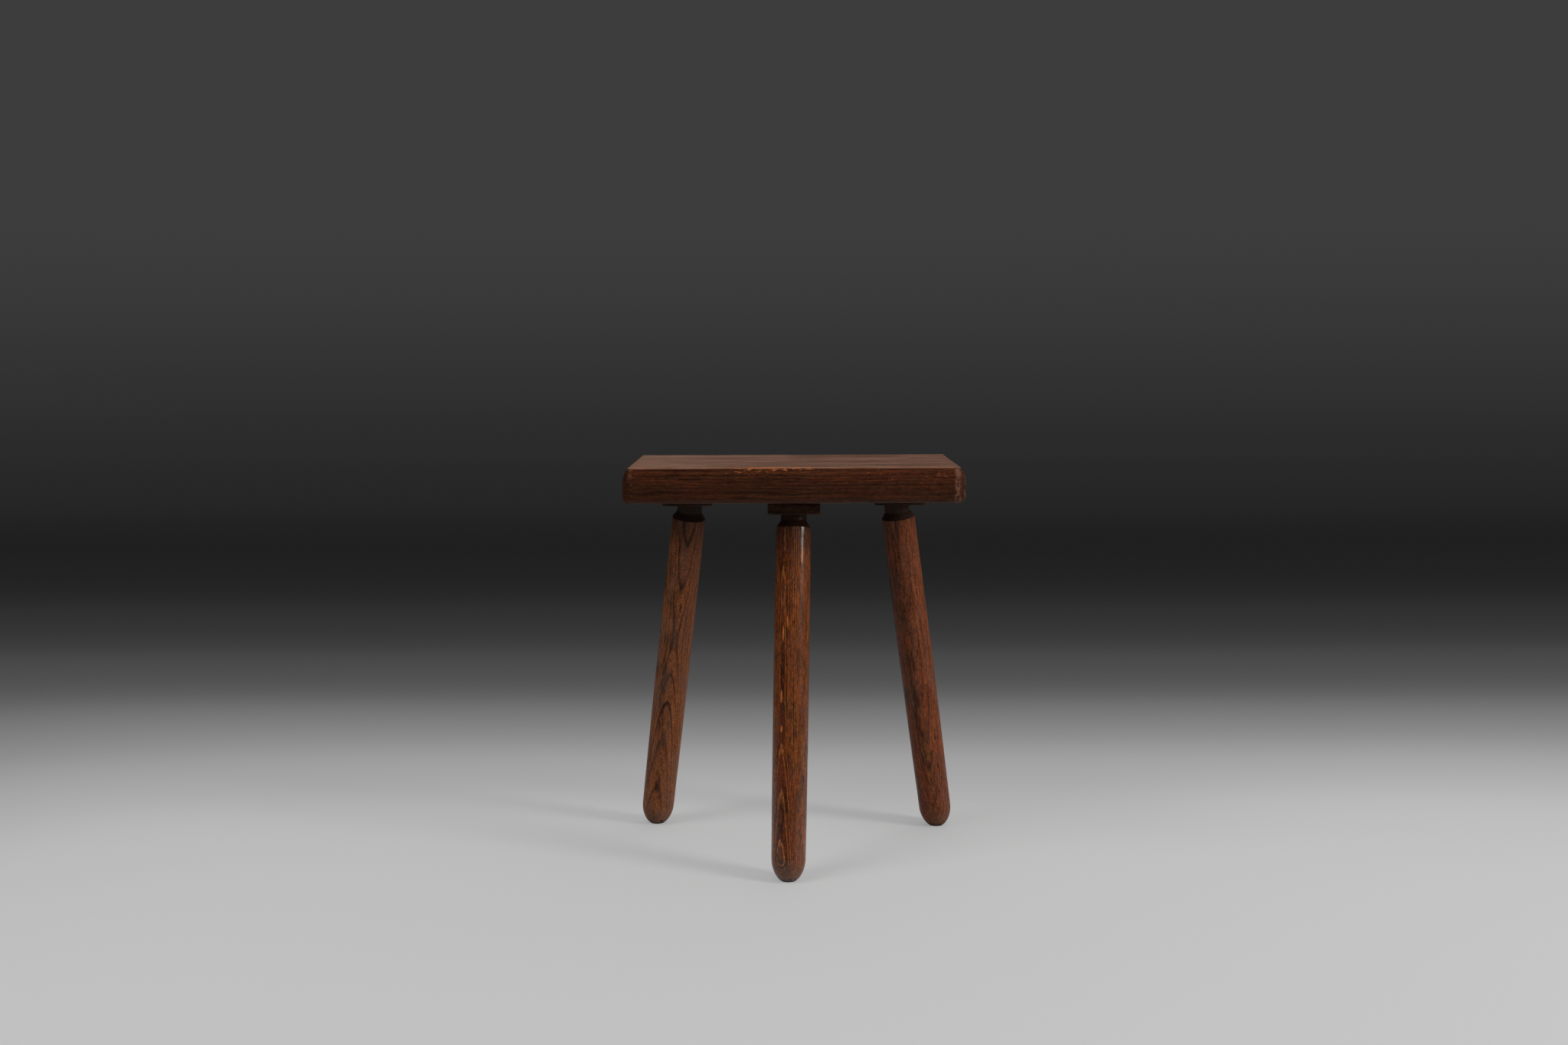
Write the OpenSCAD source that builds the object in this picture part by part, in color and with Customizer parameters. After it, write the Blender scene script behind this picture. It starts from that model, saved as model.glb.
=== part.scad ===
// Tripod stool: a thick oak seat with bulged ends on three turned, splayed legs.
// Each leg ends in a neck and a round tenon that passes through a square block and
// stands in a blind socket in the seat, spread there by a wedge. Screws hold the
// blocks to the seat, and a thin pad lies under each foot.
// Millimetres, +Z up, the single leg at the front (-Y). The origin is on the floor
// at the middle of the stool's reach from front to back.

/* [Seat] */
// Height of the seat's top above the floor
seat_height = 440; // [380:5:520]
// Width of the seat at the fullest line of its ends
seat_width = 362; // [340:2:460]
// Depth of the seat at the fullest line of its front and back
seat_depth = 192; // [180:2:300]
// Thickness of the seat
seat_thickness = 38.5; // [36:0.5:50]
// Radius of the upright corners, seen from above
seat_corner = 14; // [8:1:30]
// Radius of the bulge of the ends, from their top edge down to their fullest line
end_bulge = 30; // [27:1:60]
// Depth of the ends' fullest line below the top
end_line = 20; // [14:1:21]
// Round-over along the bottom edge of the ends
end_round = 8; // [3:1:10]
// Radius of the slight bulge of the front and back
front_bulge = 42; // [20:1:80]
// Depth of the fullest line of the front and back below the top
front_line = 10; // [4:1:16]
// Round-over along the bottom edge of the front and back
front_round = 5; // [2:1:8]

/* [Blocks] */
// Side of the square blocks under the seat
block_side = 56; // [50:1:62]
// Thickness of the blocks
block_thickness = 14; // [10:0.5:20]
// Bevel around the lower edges of the blocks
block_bevel = 1.2; // [0.5:0.1:2]
// Distance from the seat's front to the front block
front_overhang = 24; // [16:1:34]
// Distance from the rear blocks to the seat's back
rear_overhang = 16; // [10:1:34]
// Distance from each rear block to its end of the seat
side_overhang = 34.25; // [20:0.25:60]

/* [Legs] */
// Diameter of a leg just below its shoulder
leg_top_d = 37.6; // [35:0.2:42]
// Diameter of a leg where its foot starts to round
leg_foot_d = 37; // [30:0.2:42]
// Extra diameter of the swell half-way down
leg_swell = 1.2; // [0:0.2:4]
// Diameter of the neck and of its tenon
neck_d = 28; // [22:0.5:30]
// Bare neck between the block and the shoulder, along the leg
neck_gap = 9.3; // [3:0.1:14]
// Height of the sloped shoulder, along the leg
shoulder_height = 7; // [4:0.1:14]
// Length of the tenon inside the seat
tenon_depth = 22; // [18:0.5:24]
// Height of the rounded end of the foot
foot_round = 22.5; // [18:0.5:34]
// Diameter of the level face under the foot
foot_flat_d = 20.6; // [17.2:0.2:24]

/* [Splay] */
// Forward lean of the front leg, in degrees
front_forward = 9.4; // [4:0.1:14]
// Lean of the front leg to the left, in degrees
front_leftward = 1.1; // [0:0.1:3]
// Outward lean of the left leg, in degrees
left_outward = 7; // [4:0.1:12]
// Backward lean of the left leg, in degrees
left_backward = 9.1; // [4:0.1:12]
// Outward lean of the right leg, in degrees
right_outward = 7.8; // [4:0.1:12]
// Backward lean of the right leg, in degrees
right_backward = 7.1; // [4:0.1:12]
// How far inside their blocks' middles the rear legs leave the blocks
rear_inset = 2; // [0:0.1:3]

/* [Wedges] */
// Thickness of a wedge at its head
wedge_head = 5; // [3:0.2:6]
// Thickness of a wedge at its thin end
wedge_tip = 2; // [1:0.2:2.8]
// Length of a wedge
wedge_length = 17; // [12:0.5:17]
// Saw cut left empty below the wedge
kerf_spare = 2; // [0.5:0.5:4]

/* [Screws] */
// Diameter of a block screw's shank
screw_d = 4; // [3:0.5:5]
// Diameter of a block screw's head
screw_head_d = 8; // [7:0.5:9]
// Length of a block screw over all
screw_length = 36; // [28:1:40]
// Distance of the screws from the sides of their block
screw_inset = 8; // [6:0.5:9]
// Width of the screwdriver slot
slot_width = 1; // [0.6:0.1:1.4]

/* [Foot pads] */
// Diameter of a foot pad
pad_d = 16.8; // [12:0.2:17]
// Thickness of a foot pad
pad_thickness = 1.6; // [1:0.1:4]

/* [Fits] */
// Gap around a tenon, a screw or its head
joint_gap = 0.1; // [0.05:0.05:0.3]
// Space left above the end of a tenon or a screw
end_gap = 1; // [0.5:0.5:2]

/* [Hidden] */
$fn = 96;

seat_tone = [0.30, 0.17, 0.11];
block_tone = [0.22, 0.13, 0.09];
leg_tone = [0.46, 0.26, 0.15];
wedge_tone = [0.72, 0.55, 0.36];
steel_tone = [0.55, 0.54, 0.52];
pad_tone = [0.10, 0.09, 0.08];

// Heights of the seat's and the blocks' undersides
seat_bottom = seat_height - seat_thickness;
block_bottom = seat_bottom - block_thickness;

// The foot's rounded end is half an ellipse. Its half length is set so that the
// level cut foot_round below its middle is foot_flat_d wide.
foot_r = leg_foot_d / 2;
foot_reach = foot_round / sqrt(1 - pow(foot_flat_d / leg_foot_d, 2));
foot_middle = pad_thickness + foot_round;
foot_stretch = pow(foot_reach, 2) - pow(foot_r, 2);

// The slopes of a leg: millimetres of sideways and backward run for each one down
front_slope = [-tan(front_leftward), -tan(front_forward)];
left_slope = [-tan(left_outward), tan(left_backward)];
right_slope = [tan(right_outward), tan(right_backward)];

// How far a leaning foot reaches in y from its block, away from the seat's middle
function foot_y(slope) =
    abs(slope.y) * (block_bottom - foot_middle)
    + sqrt(pow(foot_r, 2) + foot_stretch * pow(slope.y, 2) / pow(run(slope), 2));

// Length of leg for each millimetre of height
function run(slope) = sqrt(1 + pow(slope.x, 2) + pow(slope.y, 2));

// The blocks' middles from the seat's front and back, and the seat's own place: the
// origin is midway between the furthest points of the front and the rear feet.
front_from_edge = front_overhang + block_side / 2;
rear_from_edge = rear_overhang + block_side / 2;
front_poke = foot_y(front_slope) - front_from_edge;
rear_poke = max(foot_y(left_slope), foot_y(right_slope)) - rear_from_edge;
seat_front = -seat_depth / 2 + (front_poke - rear_poke) / 2;
seat_back = seat_front + seat_depth;

front_spot = [0, seat_front + front_from_edge];
side_reach = seat_width / 2 - side_overhang - block_side / 2;
left_spot = [-side_reach, seat_back - rear_from_edge];
right_spot = [side_reach, seat_back - rear_from_edge];
front_axis = front_spot;
left_axis = left_spot + [rear_inset, 0];
right_axis = right_spot - [rear_inset, 0];

// Turn of the seat's outlines from one facet to the next, in degrees
bulge_turn = 4.5;
round_turn = 15;
// Steps in the curved outlines of a leg
swell_steps = 14;
foot_steps = 14;
// Bevel on the end of a tenon, and the depth of a screw's slot
tenon_bevel = 1.5;
slot_depth = 1.1;
tip_length = 5;
// Cutting bodies stand past the faces that they cut by this much
over = 1;

// Outline of one side of the seat, as [outward, height] from its fullest line and the
// seat's top: an arc down to the fullest line, an upright stretch and a quarter round.
function side_outline(bulge, line, round) =
    let (
        bulge_angle = asin(line / bulge),
        bulge_steps = ceil(bulge_angle / bulge_turn),
        round_steps = ceil(90 / round_turn)
    )
    concat(
        [for (i = [0:bulge_steps]) let (a = bulge_angle * (1 - i / bulge_steps))
            [bulge * (cos(a) - 1), bulge * sin(a) - line]],
        [for (i = [0:round_steps]) let (a = 90 * i / round_steps)
            [round * (cos(a) - 1), round * (1 - sin(a)) - seat_thickness]],
    );

// Section through the seat between two opposite sides that far apart
module seat_section(across, outline) {
    polygon(concat(
        [for (point = outline) [across / 2 + point.x, point.y]],
        [for (i = [len(outline) - 1:-1:0]) [-across / 2 - outline[i].x, outline[i].y]],
    ));
}

// The seat's outline from above: a rectangle with round corners
module seat_plan() {
    corner_x = seat_width / 2 - seat_corner;
    corner_y = seat_depth / 2 - seat_corner;
    square([seat_width, 2 * corner_y], center = true);
    square([2 * corner_x, seat_depth], center = true);
    for (x = [-corner_x, corner_x], y = [-corner_y, corner_y])
        translate([x, y])
            circle(seat_corner);
}

// The board is what its outlines from the front, from one end and from above share
module seat_slab() {
    translate([0, 0, seat_height])
        intersection() {
            rotate([90, 0, 0])
                linear_extrude(seat_depth + 2 * over, center = true)
                    seat_section(seat_width, side_outline(end_bulge, end_line, end_round));
            rotate([90, 0, 90])
                linear_extrude(seat_width + 2 * over, center = true)
                    seat_section(seat_depth, side_outline(front_bulge, front_line, front_round));
            translate([0, 0, -seat_thickness - over])
                linear_extrude(seat_thickness + 2 * over)
                    seat_plan();
        }
}

// Sets a leg's own frame: its axis leaves the block's underside at the origin and
// runs down along -Z
module on_leg_axis(at, slope) {
    turn_y = -atan(slope.x);
    translate([at.x, at.y, block_bottom])
        rotate([atan(slope.y * cos(turn_y)), turn_y, 0])
            children();
}

// Length of tenon above the block's underside
function tenon_top(slope) = block_thickness * run(slope) + tenon_depth;

// The hole for a neck and its tenon, through the block and into the seat
module socket(at, slope) {
    on_leg_axis(at, slope)
        translate([0, 0, -neck_gap])
            cylinder(h = neck_gap + tenon_top(slope) + end_gap, d = neck_d + 2 * joint_gap);
}

module at_screws(spot) {
    reach = block_side / 2 - screw_inset;
    for (x = [-reach, reach], y = [-reach, reach])
        translate([spot.x + x, spot.y + y, block_bottom])
            children();
}

// A countersunk hole from the block's underside up into the seat
module screw_hole() {
    head_r = screw_head_d / 2 + joint_gap;
    shank_r = screw_d / 2 + joint_gap;
    rotate_extrude()
        polygon([
            [0, -over], [head_r, -over], [head_r, 0], [shank_r, head_r - shank_r],
            [shank_r, screw_length + end_gap], [0, screw_length + end_gap],
        ]);
}

module block_screw() {
    head_r = screw_head_d / 2;
    shank_r = screw_d / 2;
    difference() {
        rotate_extrude()
            polygon([
                [0, 0], [head_r, 0], [shank_r, head_r - shank_r],
                [shank_r, screw_length - tip_length], [0, screw_length],
            ]);
        translate([-head_r - over, -slot_width / 2, -over])
            cube([screw_head_d + 2 * over, slot_width, slot_depth + over]);
    }
}

module seat() {
    color(seat_tone)
        difference() {
            translate([0, (seat_front + seat_back) / 2, 0])
                seat_slab();
            socket(front_axis, front_slope);
            socket(left_axis, left_slope);
            socket(right_axis, right_slope);
            for (spot = [front_spot, left_spot, right_spot])
                at_screws(spot)
                    screw_hole();
        }
}

// Outline of a block from one side: square, with its two lower corners bevelled
module block_section() {
    half = block_side / 2;
    polygon([
        [-half, block_thickness], [-half, block_bevel], [block_bevel - half, 0],
        [half - block_bevel, 0], [half, block_bevel], [half, block_thickness],
    ]);
}

module block(spot, at, slope) {
    color(block_tone)
        difference() {
            translate([spot.x, spot.y, block_bottom])
                intersection() {
                    rotate([90, 0, 0])
                        linear_extrude(block_side, center = true)
                            block_section();
                    rotate([90, 0, 90])
                        linear_extrude(block_side, center = true)
                            block_section();
                }
            socket(at, slope);
            at_screws(spot)
                screw_hole();
        }
}

// Radius of the leg's body, from its shoulder (0) to the start of its foot (1)
function body_r(t) = (leg_top_d + (leg_foot_d - leg_top_d) * t + leg_swell * 4 * t * (1 - t)) / 2;

// Outline of a turned leg, as [radius, height] in the leg's own frame
function leg_outline(slope) =
    let (
        top = tenon_top(slope),
        shoulder = neck_gap + shoulder_height,
        foot = (block_bottom - foot_middle) * run(slope),
        body = foot - shoulder
    )
    concat(
        [[0, top], [neck_d / 2 - tenon_bevel, top], [neck_d / 2, top - tenon_bevel]],
        [[neck_d / 2, -neck_gap]],
        [for (i = [0:swell_steps]) [body_r(i / swell_steps), -shoulder - body * i / swell_steps]],
        [for (i = [1:foot_steps]) let (a = 90 * i / foot_steps)
            [i == foot_steps ? 0 : foot_r * cos(a), -foot - foot_reach * sin(a)]],
    );

// A tapered slice down from the tenon's end, on both sides of the leg's axis
module taper(slope, length) {
    thin = wedge_tip + (wedge_head - wedge_tip) * (1 - length / wedge_length);
    translate([0, 0, tenon_top(slope)])
        rotate([90, 0, 0])
            linear_extrude(neck_d + 2 * over, center = true)
                polygon([
                    [-wedge_head / 2, 0], [wedge_head / 2, 0],
                    [thin / 2, -length], [-thin / 2, -length],
                ]);
}

module turned_leg(at, slope) {
    color(leg_tone)
        difference() {
            on_leg_axis(at, slope)
                difference() {
                    rotate_extrude()
                        polygon(leg_outline(slope));
                    taper(slope, wedge_length + kerf_spare);
                }
            floor_cut(at, slope);
        }
}

// Everything lower than the top of the foot pads, below one leg
module floor_cut(at, slope) {
    side = 4 * leg_top_d;
    foot = foot_centre(at, slope);
    translate([foot.x - side / 2, foot.y - side / 2, pad_thickness - side])
        cube(side);
}

// Middle of the level face under a foot: a level cut through the leaning foot is an
// ellipse, and its middle lies a little inside the leg's axis
function foot_centre(at, slope) =
    at + slope * (block_bottom - foot_middle)
    + slope * foot_round * foot_stretch / (pow(run(slope) * foot_r, 2) + foot_stretch);

module wedge(at, slope) {
    color(wedge_tone)
        on_leg_axis(at, slope)
            intersection() {
                taper(slope, wedge_length);
                translate([0, 0, tenon_top(slope) - wedge_length])
                    cylinder(h = wedge_length, d = neck_d - 2 * tenon_bevel);
            }
}

module foot_pad(at, slope) {
    foot = foot_centre(at, slope);
    color(pad_tone)
        translate([foot.x, foot.y, 0])
            cylinder(h = pad_thickness, d = pad_d);
}

module front_block() { block(front_spot, front_axis, front_slope); }
module left_block() { block(left_spot, left_axis, left_slope); }
module right_block() { block(right_spot, right_axis, right_slope); }

module front_leg() { turned_leg(front_axis, front_slope); }
module left_leg() { turned_leg(left_axis, left_slope); }
module right_leg() { turned_leg(right_axis, right_slope); }

module front_wedge() { wedge(front_axis, front_slope); }
module left_wedge() { wedge(left_axis, left_slope); }
module right_wedge() { wedge(right_axis, right_slope); }

module block_screws() {
    color(steel_tone)
        for (spot = [front_spot, left_spot, right_spot])
            at_screws(spot)
                block_screw();
}

module front_pad() { foot_pad(front_axis, front_slope); }
module left_pad() { foot_pad(left_axis, left_slope); }
module right_pad() { foot_pad(right_axis, right_slope); }

seat();
front_block();
left_block();
right_block();
front_leg();
left_leg();
right_leg();
front_wedge();
left_wedge();
right_wedge();
block_screws();
front_pad();
left_pad();
right_pad();
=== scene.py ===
"""Dresses a tripod stool: a thick oak seat on three turned, splayed legs.

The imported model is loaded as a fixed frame. The seat, the blocks, the legs and the foot
pads are replaced by finer surfaces of the same sizes, with softened edges and the small
unevenness of hand work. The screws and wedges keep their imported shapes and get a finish.
Lengths are in metres, +Z up, and the single leg stands at the front (-Y).
"""

import logging
import math
from dataclasses import dataclass, field
from enum import Enum
from functools import cache
from typing import Callable, Union

import bpy
import numpy as np
from mathutils import Euler, Matrix, Vector


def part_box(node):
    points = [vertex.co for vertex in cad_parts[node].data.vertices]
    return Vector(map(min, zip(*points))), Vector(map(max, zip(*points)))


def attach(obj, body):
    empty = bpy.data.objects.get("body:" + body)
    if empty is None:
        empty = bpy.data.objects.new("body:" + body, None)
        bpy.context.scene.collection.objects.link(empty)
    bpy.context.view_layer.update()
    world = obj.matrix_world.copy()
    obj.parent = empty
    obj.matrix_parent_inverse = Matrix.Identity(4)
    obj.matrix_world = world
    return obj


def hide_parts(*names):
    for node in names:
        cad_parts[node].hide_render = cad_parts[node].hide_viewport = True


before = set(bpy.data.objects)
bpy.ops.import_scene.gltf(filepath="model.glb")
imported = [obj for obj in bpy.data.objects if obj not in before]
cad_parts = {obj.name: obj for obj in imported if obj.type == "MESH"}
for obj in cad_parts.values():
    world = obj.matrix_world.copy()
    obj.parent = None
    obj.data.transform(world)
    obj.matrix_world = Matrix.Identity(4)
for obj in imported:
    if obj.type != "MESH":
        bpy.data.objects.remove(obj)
LOG = logging.getLogger("tripod_stool")
BODY = "root"
ZERO = (0.0, 0.0, 0.0)
Colour = tuple[int, int, int]
Point = tuple[float, float, float]
Spot = tuple[float, float, float, float]

# Grey of a painted sheen on the seat's top: the wax's glancing reflection.
TOP_SHEEN_GREY = (153, 117, 97)
# Painted shade down the seat's sides, also used for clouds of darker tone.
SIDE_SHADE_AND_CLOUD = (30, 14, 6)
LOWER_EDGE = (84, 62, 50)
# Pale of the top arris: worn bare wood and a painted highlight.
ARRIS_HIGHLIGHT_AND_WEAR = (150, 104, 78)
# Pale specks at the seat's corners: wear and a painted highlight.
CORNER_HIGHLIGHT_AND_WEAR = (124, 86, 68)
LEG_BLOOM = (88, 68, 60)
# Painted shadow of the seat on the top of each leg.
SEAT_SHADOW_ON_LEG = (34, 19, 15)
# Near-black brown of the legs' necks and shoulders.
NECK_DARK_BROWN = (33, 20, 13)
# Grey of the foot: dust and a painted reflection of the floor.
FOOT_DUST_AND_REFLECTION = (104, 80, 62)
# Near-black of a painted contact shadow on the foot's lowest edge.
FOOT_CONTACT_SHADOW = (14, 10, 8)


def linear(red: int, green: int, blue: int) -> Point:
    """Turns a display colour of 0 to 255 into linear light of 0 to 1."""
    shown = np.array([red, green, blue]) / 255
    light = np.where(shown <= 0.04045, shown / 12.92, ((shown + 0.055) / 1.055) ** 2.4)
    return tuple(float(v) for v in light)


def smooth(value: np.ndarray) -> np.ndarray:
    """Eases 0 to 1: three times the square less twice the cube of the clamped value."""
    clamped = np.clip(value, 0.0, 1.0)
    return clamped * clamped * (3 - 2 * clamped)


def waves(points: np.ndarray, length: float, seed: float) -> np.ndarray:
    """Smooth unevenness over a surface.

    The sum of four sines, each along its own slanting direction and each shorter than
    the one before, scaled to lie between 0 and 1.

    Args:
        points: Points with x, y, z in the last axis.
        length: Longest wavelength.
        seed: Shifts the waves, so that no two pieces are alike.

    Returns:
        One value for each point.
    """
    total = np.zeros(points.shape[:-1])
    for step in range(4):
        turn = seed + 2.4 * step
        way = np.array([math.cos(turn), math.sin(turn), math.sin(1.7 * turn + 1)])
        pace = 2 * math.pi / length * 1.63 ** step
        total += np.sin(points @ way * pace + 5.1 * turn) / 1.5 ** step
    return 0.5 + 0.5 * total / sum(1 / 1.5 ** step for step in range(4))


def rounded_line(corners: list[Point], steps: int = 5) -> np.ndarray:
    """A line through corners that are each rounded by an arc.

    At a corner the arc leaves each side at the radius times the tangent of half the
    turn, and its points lie on the circle that touches both sides.

    Args:
        corners: The corners as (across, along, radius); a radius of 0 stays sharp.
        steps: Segments in each arc.

    Returns:
        The line's points, two columns.
    """
    places = np.array([c[:2] for c in corners], float)
    line = [places[0]]
    for k in range(1, len(corners) - 1):
        radius = corners[k][2]
        before = places[k - 1] - places[k]
        after = places[k + 1] - places[k]
        before /= np.linalg.norm(before)
        after /= np.linalg.norm(after)
        half = math.acos(float(np.clip(before @ after, -1, 1))) / 2
        if radius <= 0 or half > math.pi / 2 - 1e-3:
            line.append(places[k])
            continue
        middle = places[k] + (before + after) / np.linalg.norm(before + after) * radius / math.sin(half)
        start = places[k] + before * radius / math.tan(half) - middle
        end = places[k] + after * radius / math.tan(half) - middle
        sweep = math.pi - 2 * half
        share = np.linspace(0, 1, steps + 1)[:, None]
        arc = (np.sin((1 - share) * sweep) * start + np.sin(share * sweep) * end) / math.sin(sweep)
        line.extend(middle + arc)
    line.append(places[-1])
    return np.array(line)


def spaced(line: np.ndarray, gap: float) -> np.ndarray:
    """Adds points to a line, so that no two neighbours lie further apart than the gap."""
    pieces = [line[:1]]
    for start, end in zip(line[:-1], line[1:]):
        count = max(1, math.ceil(float(np.linalg.norm(end - start)) / gap))
        share = np.linspace(0, 1, count + 1)[1:, None]
        pieces.append(start + (end - start) * share)
    return np.concatenate(pieces)


class MeshDraft:
    """Grids of points that are welded into one closed mesh."""

    def __init__(self) -> None:
        """Starts with no grids."""
        self.points: list[np.ndarray] = []
        self.quads: list[np.ndarray] = []
        self.layers: dict[str, list[np.ndarray]] = {}
        self.count = 0

    def add(self, grid: np.ndarray, flip: bool = False, **layers: np.ndarray) -> "MeshDraft":
        """Adds a grid whose faces look along rows × columns.

        Args:
            grid: Rows × columns × 3 points.
            flip: Turns the faces round.
            **layers: One value for each point, by attribute name.

        Returns:
            The draft itself.
        """
        rows, columns = grid.shape[:2]
        index = np.arange(rows * columns).reshape(rows, columns) + self.count
        quads = np.stack(
            [index[:-1, :-1], index[1:, :-1], index[1:, 1:], index[:-1, 1:]], -1
        ).reshape(-1, 4)
        self.quads.append(quads[:, ::-1] if flip else quads)
        self.points.append(grid.reshape(-1, 3))
        for name, values in layers.items():
            spread = np.broadcast_to(values, (rows, columns)).reshape(-1)
            self.layers.setdefault(name, []).append(spread)
        self.count += rows * columns
        return self

    def build(self, name: str) -> bpy.types.Object:
        """Welds points that coincide, drops folded faces and makes the object.

        Args:
            name: Name of the piece.

        Returns:
            The smooth-shaded mesh object, at the origin.
        """
        points = np.concatenate(self.points)
        keys = np.round(points, 7)
        _, first, place = np.unique(keys, axis=0, return_index=True, return_inverse=True)
        quads = place.reshape(-1)[np.concatenate(self.quads)]
        doubled = quads == np.roll(quads, -1, axis=1)
        times = doubled.sum(axis=1)
        triangles = quads[times == 1][~doubled[times == 1]].reshape(-1, 3)
        faces = quads[times == 0].tolist() + triangles.tolist()
        mesh = bpy.data.meshes.new(name)
        mesh.from_pydata(points[first].tolist(), [], faces)
        mesh.polygons.foreach_set("use_smooth", np.ones(len(faces), bool))
        for layer, parts in self.layers.items():
            values = np.concatenate(parts)[first].astype(np.float32)
            mesh.attributes.new(layer, "FLOAT", "POINT").data.foreach_set("value", values)
        mesh.update()
        piece = bpy.data.objects.new(name, mesh)
        bpy.context.scene.collection.objects.link(piece)
        LOG.info("%s: %d points, %d faces", name, len(mesh.vertices), len(faces))
        return piece


def disc(name: str, middle: tuple[float, float], profile: np.ndarray, columns: int) -> bpy.types.Object:
    """Carries a profile round an upright axis.

    Args:
        name: Name of the piece.
        middle: The axis, as x and y.
        profile: Radius and level of each ring.
        columns: Steps round the axis.

    Returns:
        The piece, without its finish.
    """
    angle = np.linspace(0, 2 * math.pi, columns + 1)
    angle[-1] = 0.0
    radius, level = profile[:, :1], profile[:, 1:]
    x, y = middle[0] + radius * np.cos(angle), middle[1] + radius * np.sin(angle)
    return MeshDraft().add(np.stack([x, y, level + 0 * angle], -1)).build(name)


def settle(piece: bpy.types.Object, finish: bpy.types.Material, slot: str, *nodes: str) -> None:
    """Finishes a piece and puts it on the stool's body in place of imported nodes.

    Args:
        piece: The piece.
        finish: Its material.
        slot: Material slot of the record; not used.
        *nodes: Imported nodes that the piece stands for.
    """
    piece.data.materials.append(finish)
    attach(piece, BODY)
    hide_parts(*nodes)


def reckoning(operation: str) -> Callable[["Value", "Feed"], "Value"]:
    """Gives the method that puts a value and another one through a math node."""

    def method(self: "Value", other: "Feed") -> "Value":
        """Adds the node."""
        return self.graph.math(operation, self, other)

    return method


@dataclass(frozen=True)
class Value:
    """A node's output, which plain arithmetic can work with."""

    graph: "Graph"
    socket: bpy.types.NodeSocket
    __add__ = reckoning("ADD")
    __sub__ = reckoning("SUBTRACT")
    __mul__ = reckoning("MULTIPLY")
    __truediv__ = reckoning("DIVIDE")

    def split(self) -> tuple["Value", "Value", "Value"]:
        """A vector's x, y and z."""
        parts = self.graph.node("ShaderNodeSeparateXYZ", {0: self})
        return parts["X"], parts["Y"], parts["Z"]


Feed = Union[float, tuple, Value]


@dataclass(frozen=True)
class Made:
    """A node that was added, whose outputs are read by name or number."""

    graph: "Graph"
    node: bpy.types.Node

    def __getitem__(self, name: Union[str, int]) -> Value:
        """One of its outputs."""
        return Value(self.graph, self.node.outputs[name])


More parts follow.
